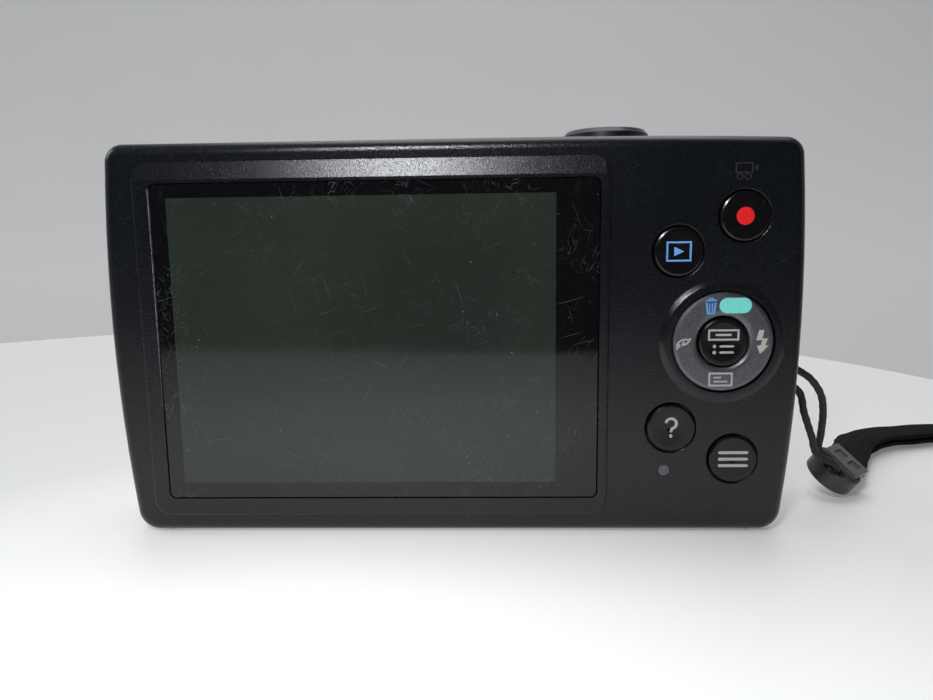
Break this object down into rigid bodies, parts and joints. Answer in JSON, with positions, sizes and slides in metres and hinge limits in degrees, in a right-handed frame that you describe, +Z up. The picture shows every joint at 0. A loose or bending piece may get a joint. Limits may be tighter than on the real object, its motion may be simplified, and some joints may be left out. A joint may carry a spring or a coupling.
{
  "type": "compact digital camera",
  "caption": "Compact digital camera with a telescoping lens, rear screen, keys, battery door and wrist strap, built from separate pieces.",
  "frame": {"origin": "on the flat underside of the body, at the middle of its width, 1 mm in front of the case seam (mount underside)", "axes": "X to the right as seen from the screen side, +Y towards the lens, +Z up"},
  "size_m": [0.1709, 0.0484, 0.0579],
  "materials": {
    "body_plastic": "fine satin texture",
    "window": "polished, scratched",
    "key_cap": "polished",
    "ring_metal": "metallic paint",
    "lever_metal": "dark plated",
    "lens_metal": "satin anodised",
    "trim_metal": "dark satin",
    "lens_glass": "coated",
    "lamp_glass": "clear",
    "reflector": "bright",
    "inner_plastic": "moulded",
    "board": "solder mask",
    "sheet_metal": "pressed",
    "steel": "turned",
    "plated": "nickel plated",
    "brass_part": "turned",
    "battery_case": "satin",
    "card_case": "satin",
    "film": "clear film",
    "foam_tape": "adhesive",
    "panel": "polarised",
    "soft_cover": "satin",
    "cord": "braided",
    "webbing": "woven",
    "connector": "satin",
    "light": "diffusing"
  },
  "bodies": {
    "camera_body": {"front_cover": "body_plastic", "rear_cover": "body_plastic", "main_chassis": "sheet_metal", "display_window": "window", "window_tape": "foam_tape", "lcd_panel": "panel", "lcd_frame": "sheet_metal", "key_board": "board", "key_dome_sheet": "film", "status_light_pipe": "light", "main_board": "board", "flash_board": "board", "flash_capacitor": "battery_case", "flash_window": "lamp_glass", "flash_reflector": "reflector", "flash_tube": "lamp_glass", "af_lamp_lens": "lamp_glass", "lens_base": "inner_plastic", "lens_trim_ring": "trim_metal", "image_sensor": "panel", "sensor_plate": "sheet_metal", "zoom_motor": "plated", "battery_box": "inner_plastic", "memory_card_slot": "sheet_metal", "speaker": "inner_plastic", "microphone": "plated", "usb_connector": "plated", "tripod_bush": "brass_part", "strap_bar": "steel", "release_switch_base": "inner_plastic", "case_screws": "steel", "shutter_spring": "steel", "battery": "battery_case", "memory_card": "card_case"},
    "shutter": {"shutter_button": "lever_metal"},
    "zoom": {"zoom_lever": "lever_metal"},
    "power": {"power_button": "key_cap"},
    "movie": {"movie_button": "key_cap"},
    "playback": {"playback_button": "key_cap"},
    "help": {"help_button": "key_cap"},
    "menu": {"menu_button": "key_cap"},
    "select": {"select_button": "key_cap"},
    "ring_pivot_body": {"ring_pivot": "inner_plastic"},
    "ring": {"nav_ring": "ring_metal"},
    "lens_stage_1": {"lens_outer_barrel": "lens_metal"},
    "lens_stage_2": {"lens_middle_barrel": "lens_metal"},
    "lens_stage_3": {"lens_inner_barrel": "lens_metal", "front_lens_element": "lens_glass"},
    "focus": {"focus_lens_group": "lens_glass"},
    "barrier_right": {"lens_barrier_right": "trim_metal"},
    "barrier_left": {"lens_barrier_left": "trim_metal"},
    "door_slider": {"battery_door_pin": "steel"},
    "door": {"battery_door": "body_plastic"},
    "latch": {"battery_latch": "inner_plastic"},
    "terminal": {"terminal_cover": "soft_cover"},
    "strap": {"strap_cord": "cord", "strap_connector": "connector", "strap_webbing": "webbing"}
  },
  "joints": [
    {"name": "shutter_press", "type": "slide", "parent": "camera_body", "child": "shutter", "axis": [0, 0, -1], "range_m": [0, 0.001], "stiffness_N_per_m": 500, "deforming": ["shutter_spring"]},
    {"name": "zoom_turn", "type": "hinge", "parent": "camera_body", "child": "zoom", "pos_m": [0.0224, 0, 0.0565], "axis": [0, 0, 1], "range_deg": [-25, 25], "stiffness_Nm_per_rad": 0.02},
    {"name": "power_press", "type": "slide", "parent": "camera_body", "child": "power", "axis": [0, 0, -1], "range_m": [0, 0.0004], "stiffness_N_per_m": 900},
    {"name": "movie_press", "type": "slide", "parent": "camera_body", "child": "movie", "axis": [0, 1, 0], "range_m": [0, 0.0004], "stiffness_N_per_m": 900},
    {"name": "playback_press", "type": "slide", "parent": "camera_body", "child": "playback", "axis": [0, 1, 0], "range_m": [0, 0.0004], "stiffness_N_per_m": 900},
    {"name": "help_press", "type": "slide", "parent": "camera_body", "child": "help", "axis": [0, 1, 0], "range_m": [0, 0.0004], "stiffness_N_per_m": 900},
    {"name": "menu_press", "type": "slide", "parent": "camera_body", "child": "menu", "axis": [0, 1, 0], "range_m": [0, 0.0004], "stiffness_N_per_m": 900},
    {"name": "select_press", "type": "slide", "parent": "camera_body", "child": "select", "axis": [0, 1, 0], "range_m": [0, 0.0004], "stiffness_N_per_m": 900},
    {"name": "ring_rock_sideways", "type": "hinge", "parent": "camera_body", "child": "ring_pivot_body", "pos_m": [0.0376, -0.0073, 0.0276], "axis": [0, 0, 1], "range_deg": [-2, 2], "stiffness_Nm_per_rad": 0.05},
    {"name": "ring_rock_up_down", "type": "hinge", "parent": "ring_pivot_body", "child": "ring", "pos_m": [0.0376, -0.0073, 0.0276], "axis": [1, 0, 0], "range_deg": [-2, 2], "stiffness_Nm_per_rad": 0.05},
    {"name": "lens_extend", "type": "slide", "parent": "camera_body", "child": "lens_stage_1", "axis": [0, 1, 0], "range_m": [0, 0.0085]},
    {"name": "lens_extend_2", "type": "slide", "parent": "lens_stage_1", "child": "lens_stage_2", "axis": [0, 1, 0], "range_m": [0, 0.0085]},
    {"name": "lens_extend_3", "type": "slide", "parent": "lens_stage_2", "child": "lens_stage_3", "axis": [0, 1, 0], "range_m": [0, 0.006]},
    {"name": "barrier_right_swing", "type": "hinge", "parent": "lens_stage_3", "child": "barrier_right", "pos_m": [-0.01, 0.0092, 0.0344], "axis": [0, -1, 0], "range_deg": [0, 36]},
    {"name": "barrier_left_swing", "type": "hinge", "parent": "lens_stage_3", "child": "barrier_left", "pos_m": [-0.01, 0.0092, 0.0196], "axis": [0, -1, 0], "range_deg": [0, 36]},
    {"name": "focus_move", "type": "slide", "parent": "camera_body", "child": "focus", "axis": [0, 1, 0], "range_m": [0, 0.001]},
    {"name": "door_slide", "type": "slide", "parent": "camera_body", "child": "door_slider", "axis": [1, 0, 0], "range_m": [0, 0.0025]},
    {"name": "door_open", "type": "hinge", "parent": "door_slider", "child": "door", "pos_m": [0.024, 0.0072, 0.0016], "axis": [1, 0, 0], "range_deg": [0, 95]},
    {"name": "latch_swing", "type": "hinge", "parent": "camera_body", "child": "latch", "pos_m": [0.039, 0.0041, 0.011], "axis": [1, 0, 0], "range_deg": [0, 11], "stiffness_Nm_per_rad": 0.02},
    {"name": "terminal_cover_open", "type": "hinge", "parent": "camera_body", "child": "terminal", "pos_m": [-0.04745, 0.0052, 0.0345], "axis": [0, 0, -1], "range_deg": [0, 75]},
    {"name": "strap_swing", "type": "hinge", "parent": "camera_body", "child": "strap", "pos_m": [0.0473, 0.004, 0.0225], "axis": [0, 1, 0], "range_deg": [-12, 6]}
  ],
  "couplings": [
    {"joint": "lens_extend_2", "follows": "lens_extend", "ratio": 1},
    {"joint": "lens_extend_3", "follows": "lens_extend", "ratio": 0.7},
    {"joint": "barrier_right_swing", "follows": "lens_extend", "rad_per_m": 73.9},
    {"joint": "barrier_left_swing", "follows": "lens_extend", "rad_per_m": 73.9}
  ]
}
